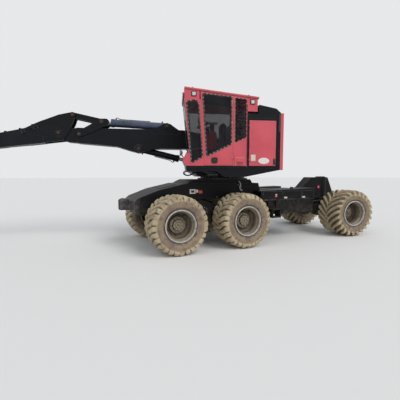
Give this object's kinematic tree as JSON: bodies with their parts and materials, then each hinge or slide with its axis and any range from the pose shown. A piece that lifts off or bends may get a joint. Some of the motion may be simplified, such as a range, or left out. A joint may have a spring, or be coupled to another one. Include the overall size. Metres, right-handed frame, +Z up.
{
  "type": "wheeled feller buncher",
  "caption": "Six-wheeled tree-felling machine with a bogie front axle, steered rear axle, slewing cab and engine house, folding boom and disc-saw felling head.",
  "frame": {"origin": "centre of the whole machine's box, on the ground", "axes": "+X forward along the carrier, +Y to the machine's left, +Z up"},
  "size_m": [12.5734, 4.6294, 3.75],
  "materials": {
    "tyre": "matt, mud-coated",
    "rim_paint": "grey paint, muddy",
    "red_paint": "faded semi-gloss",
    "black_paint": "semi-gloss",
    "bare_steel": "oiled, dull",
    "chromed_rod": "polished",
    "cast_iron": "rough",
    "dark_glass": "tinted",
    "lamp_glass": "clear lens",
    "seat_cloth": "woven"
  },
  "bodies": {
    "front_frame": {"front_chassis": "black_paint", "rear_frame": "black_paint", "side_boxes": "black_paint", "boarding_step": "black_paint", "swing_bearing": "bare_steel", "front_axle": "black_paint", "bogie_beams": "black_paint"},
    "steer": {"steer_frame": "black_paint", "rear_axle": "black_paint"},
    "upper": {"upper_deck": "black_paint", "cab_floor": "red_paint", "cab_left": "red_paint", "cab_right": "red_paint", "cab_front": "red_paint", "cab_rear": "red_paint", "cab_roof": "red_paint", "work_lamps": "lamp_glass", "cab_glass": "dark_glass", "window_grille": "black_paint", "seat": "seat_cloth", "engine_hood": "black_paint", "engine_block": "cast_iron", "counterweight": "red_paint", "hydraulic_tank": "black_paint"},
    "door": {"cab_door": "red_paint", "door_glass": "dark_glass"},
    "engine_lid": {"engine_door": "red_paint"},
    "boom": {"main_boom": "black_paint"},
    "arm": {"stick": "black_paint"},
    "head": {"head_frame": "black_paint"},
    "saw": {"saw_disc": "bare_steel"},
    "grab_left": {"harvest_arm_left": "black_paint"},
    "grab_right": {"harvest_arm_right": "black_paint"},
    "gather": {"accumulator_arm": "black_paint"},
    "rocker_pair": {"rocker": "black_paint"},
    "push_link": {"link": "black_paint"},
    "wheel_front_left": {"tyre_front_left": "tyre", "rim_front_left": "rim_paint"},
    "wheel_front_right": {"tyre_front_right": "tyre", "rim_front_right": "rim_paint"},
    "wheel_middle_left": {"tyre_middle_left": "tyre", "rim_middle_left": "rim_paint"},
    "wheel_middle_right": {"tyre_middle_right": "tyre", "rim_middle_right": "rim_paint"},
    "wheel_rear_left": {"tyre_rear_left": "tyre", "rim_rear_left": "rim_paint"},
    "wheel_rear_right": {"tyre_rear_right": "tyre", "rim_rear_right": "rim_paint"},
    "steer_jack_left": {"steer_barrel_left": "black_paint"},
    "steer_piston_left": {"steer_rod_left": "chromed_rod"},
    "steer_jack_right": {"steer_barrel_right": "black_paint"},
    "steer_piston_right": {"steer_rod_right": "chromed_rod"},
    "lift_jack": {"lift_barrel": "black_paint"},
    "lift_piston": {"lift_rod": "chromed_rod"},
    "stick_jack": {"stick_barrel": "black_paint"},
    "stick_piston": {"stick_rod": "chromed_rod"},
    "tilt_jack": {"tilt_barrel": "black_paint"},
    "tilt_piston": {"tilt_rod": "chromed_rod"}
  },
  "joints": [
    {"name": "roll_front_left", "type": "hinge", "parent": "front_frame", "child": "wheel_front_left", "pos_m": [0.0231, 1.83831, 0.6665], "axis": [0, 1, 0], "continuous": true},
    {"name": "roll_front_right", "type": "hinge", "parent": "front_frame", "child": "wheel_front_right", "pos_m": [0.0231, -0.36169, 0.6665], "axis": [0, 1, 0], "continuous": true},
    {"name": "roll_middle_left", "type": "hinge", "parent": "front_frame", "child": "wheel_middle_left", "pos_m": [-1.6869, 1.83831, 0.6665], "axis": [0, 1, 0], "continuous": true},
    {"name": "roll_middle_right", "type": "hinge", "parent": "front_frame", "child": "wheel_middle_right", "pos_m": [-1.6869, -0.36169, 0.6665], "axis": [0, 1, 0], "continuous": true},
    {"name": "roll_rear_left", "type": "hinge", "parent": "steer", "child": "wheel_rear_left", "pos_m": [-5.30662, 1.84004, 0.6665], "axis": [0.1219, 0.9925, 0], "continuous": true},
    {"name": "roll_rear_right", "type": "hinge", "parent": "steer", "child": "wheel_rear_right", "pos_m": [-5.57717, -0.36342, 0.6665], "axis": [0.1219, 0.9925, 0], "continuous": true},
    {"name": "steering", "type": "hinge", "parent": "front_frame", "child": "steer", "pos_m": [-5.4419, 0.73831, 1.04], "axis": [0, 0, 1], "range_deg": [-15, 29]},
    {"name": "steer_swing_left", "type": "hinge", "parent": "front_frame", "child": "steer_jack_left", "pos_m": [-4.4719, 0.95331, 0.93], "axis": [0, 0, 1], "range_deg": [-2.22, 3.83]},
    {"name": "steer_stroke_left", "type": "slide", "parent": "steer_jack_left", "child": "steer_piston_left", "axis": [-0.9681, 0.2505, 0], "range_m": [-0.1156, 0.2206]},
    {"name": "steer_swing_right", "type": "hinge", "parent": "front_frame", "child": "steer_jack_right", "pos_m": [-4.4719, 0.52331, 0.93], "axis": [0, 0, 1], "range_deg": [-1.69, 2.8]},
    {"name": "steer_stroke_right", "type": "slide", "parent": "steer_jack_right", "child": "steer_piston_right", "axis": [-0.9744, -0.2248, 0], "range_m": [-0.2252, 0.1179]},
    {"name": "swing", "type": "hinge", "parent": "front_frame", "child": "upper", "pos_m": [-1.7519, 0.73831, 1.69], "axis": [0, 0, 1], "continuous": true},
    {"name": "door_hinge", "type": "hinge", "parent": "upper", "child": "door", "pos_m": [-1.36993, 1.99782, 2.9], "axis": [0, 0, 1], "range_deg": [0, 95]},
    {"name": "engine_door_hinge", "type": "hinge", "parent": "upper", "child": "engine_lid", "pos_m": [-1.72354, 2.09609, 2.5], "axis": [0, 0, -1], "range_deg": [0, 95]},
    {"name": "boom_lift", "type": "hinge", "parent": "upper", "child": "boom", "pos_m": [-1.53243, 0.4153, 2.7], "axis": [-0.2756, -0.9613, 0], "range_deg": [-12, 45]},
    {"name": "lift_swing", "type": "hinge", "parent": "boom", "child": "lift_jack", "pos_m": [0.36895, -0.12991, 2.475], "axis": [-0.2756, -0.9613, 0], "range_deg": [-1.96, 0.89]},
    {"name": "lift_stroke", "type": "slide", "parent": "lift_jack", "child": "lift_piston", "axis": [-0.9351, 0.2681, -0.2318], "range_m": [-0.1459, 0.5332]},
    {"name": "stick_fold", "type": "hinge", "parent": "boom", "child": "arm", "pos_m": [2.30301, -0.68449, 2.856], "axis": [0.2756, 0.9613, 0], "range_deg": [-4, 95]},
    {"name": "rocker_swing", "type": "hinge", "parent": "boom", "child": "rocker_pair", "pos_m": [1.80988, -0.54309, 2.822], "axis": [0.2756, 0.9613, 0], "range_deg": [-4.13, 86.64]},
    {"name": "link_swing", "type": "hinge", "parent": "arm", "child": "push_link", "pos_m": [1.96176, -0.58664, 3.31], "axis": [0.2756, 0.9613, 0], "range_deg": [-65.07, 3.22]},
    {"name": "stick_jack_swing", "type": "hinge", "parent": "boom", "child": "stick_jack", "pos_m": [-0.35969, 0.07902, 3.085], "axis": [0.2756, 0.9613, 0], "range_deg": [-5.11, 0.69]},
    {"name": "stick_stroke", "type": "slide", "parent": "stick_jack", "child": "stick_piston", "axis": [0.9603, -0.2754, 0.0442], "range_m": [-0.042, 0.8848]},
    {"name": "head_tilt", "type": "hinge", "parent": "arm", "child": "head", "pos_m": [5.14834, -1.50038, 2.39], "axis": [-0.2756, -0.9613, 0], "range_deg": [-30, 50]},
    {"name": "tilt_swing", "type": "hinge", "parent": "arm", "child": "tilt_jack", "pos_m": [3.8987, -1.14205, 2.88], "axis": [-0.2756, -0.9613, 0], "range_deg": [-5.85, 3.71]},
    {"name": "tilt_stroke", "type": "slide", "parent": "tilt_jack", "child": "tilt_piston", "axis": [0.9547, -0.2737, -0.1168], "range_m": [-0.2641, 0.1605]},
    {"name": "saw_spin", "type": "hinge", "parent": "head", "child": "saw", "pos_m": [5.68665, -1.65473, 1.38], "axis": [0, 0, 1], "continuous": true},
    {"name": "grab_left_swing", "type": "hinge", "parent": "head", "child": "grab_left", "pos_m": [5.49613, -1.22351, 2.1], "axis": [0, 0, 1], "range_deg": [0, 60]},
    {"name": "grab_right_swing", "type": "hinge", "parent": "head", "child": "grab_right", "pos_m": [5.29657, -1.91947, 2.195], "axis": [0, 0, -1], "range_deg": [0, 60]},
    {"name": "gather_swing", "type": "hinge", "parent": "head", "child": "gather", "pos_m": [5.29657, -1.91947, 2.72], "axis": [0, 0, -1], "range_deg": [0, 60]}
  ],
  "couplings": [
    {"joint": "steer_swing_left", "follows": "steering", "ratio": 0.11492},
    {"joint": "steer_stroke_left", "follows": "steering", "m_per_rad": 0.42994},
    {"joint": "steer_swing_right", "follows": "steering", "ratio": 0.07932},
    {"joint": "steer_stroke_right", "follows": "steering", "m_per_rad": -0.43906},
    {"joint": "lift_swing", "follows": "boom_lift", "ratio": -0.03247},
    {"joint": "lift_stroke", "follows": "boom_lift", "m_per_rad": 0.67256},
    {"joint": "rocker_swing", "follows": "stick_fold", "ratio": 0.90677},
    {"joint": "link_swing", "follows": "stick_fold", "ratio": -0.67964},
    {"joint": "stick_jack_swing", "follows": "stick_fold", "ratio": -0.04854},
    {"joint": "stick_stroke", "follows": "stick_fold", "m_per_rad": 0.53061},
    {"joint": "tilt_swing", "follows": "head_tilt", "ratio": -0.10694},
    {"joint": "tilt_stroke", "follows": "head_tilt", "m_per_rad": -0.29692},
    {"joint": "grab_right_swing", "follows": "grab_left_swing", "ratio": 1}
  ]
}
